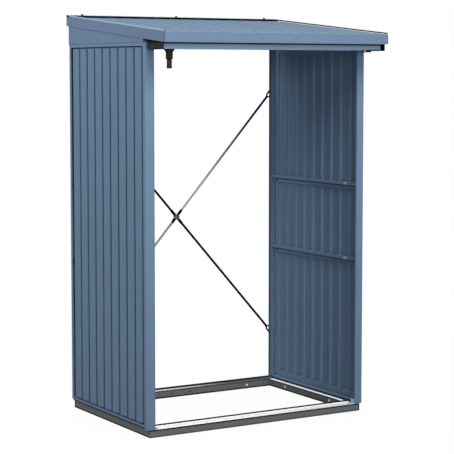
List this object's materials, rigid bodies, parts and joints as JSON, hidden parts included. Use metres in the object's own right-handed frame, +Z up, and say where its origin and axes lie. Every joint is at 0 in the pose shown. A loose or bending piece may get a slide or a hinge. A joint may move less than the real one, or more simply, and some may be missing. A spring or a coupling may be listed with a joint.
{
  "type": "log store",
  "caption": "Open-fronted sheet-steel log store: ribbed side walls on a base frame, a lean-to roof falling to a front gutter with a hose spigot, and a crossed rod brace at the back.",
  "frame": {"origin": "on the ground below the middle of the roof plan", "axes": "+Z up, the open front faces -Y, +X to the right seen from the front"},
  "size_m": [1.242, 1.015, 1.99],
  "materials": {
    "wall_sheet": "satin powder coat, blue grey",
    "frame_coat": "satin powder coat, blue grey",
    "gable_coat": "satin powder coat, blue grey",
    "roof_coat": "satin powder coat, blue grey",
    "fascia_coat": "satin powder coat, blue grey",
    "gutter_coat": "satin powder coat, blue grey",
    "base_coat": "dark grey coat",
    "ledge_metal": "bright galvanised",
    "black_plastic": "matt black moulding",
    "seal_rubber": "matt black",
    "rod_dark": "dark oiled steel",
    "rod_zinc": "zinc plated",
    "zinc_fitting": "zinc plated"
  },
  "bodies": {
    "root": {"left_wall_panel": "wall_sheet", "right_wall_panel": "wall_sheet", "front_left_post": "frame_coat", "front_right_post": "frame_coat", "rear_left_post": "frame_coat", "rear_right_post": "frame_coat", "left_bottom_rail": "frame_coat", "right_bottom_rail": "frame_coat", "left_top_rail": "frame_coat", "right_top_rail": "frame_coat", "left_lower_stiffener": "frame_coat", "left_upper_stiffener": "frame_coat", "right_lower_stiffener": "frame_coat", "right_upper_stiffener": "frame_coat", "front_header": "frame_coat", "rear_header": "frame_coat", "left_gable": "gable_coat", "right_gable": "gable_coat", "roof_sheet": "roof_coat", "front_fascia": "fascia_coat", "rear_fascia": "fascia_coat", "left_fascia": "fascia_coat", "right_fascia": "fascia_coat", "gutter": "gutter_coat", "base_front_rail": "base_coat", "base_back_rail": "base_coat", "base_left_rail": "base_coat", "base_right_rail": "base_coat", "front_ledge_strip": "ledge_metal", "back_ledge_strip": "ledge_metal", "left_ledge_strip": "ledge_metal", "right_ledge_strip": "ledge_metal", "gutter_left_cap": "black_plastic", "gutter_right_cap": "black_plastic", "gutter_left_bracket": "black_plastic", "gutter_right_bracket": "black_plastic", "gutter_outlet": "black_plastic", "rear_seal": "seal_rubber", "brace_upper_left_rod": "rod_dark", "brace_lower_right_rod": "rod_dark", "brace_upper_right_rod": "rod_zinc", "brace_lower_left_rod": "rod_zinc", "brace_ring": "zinc_fitting", "left_brace_anchors": "zinc_fitting", "right_brace_anchors": "zinc_fitting"}
  },
  "joints": []
}
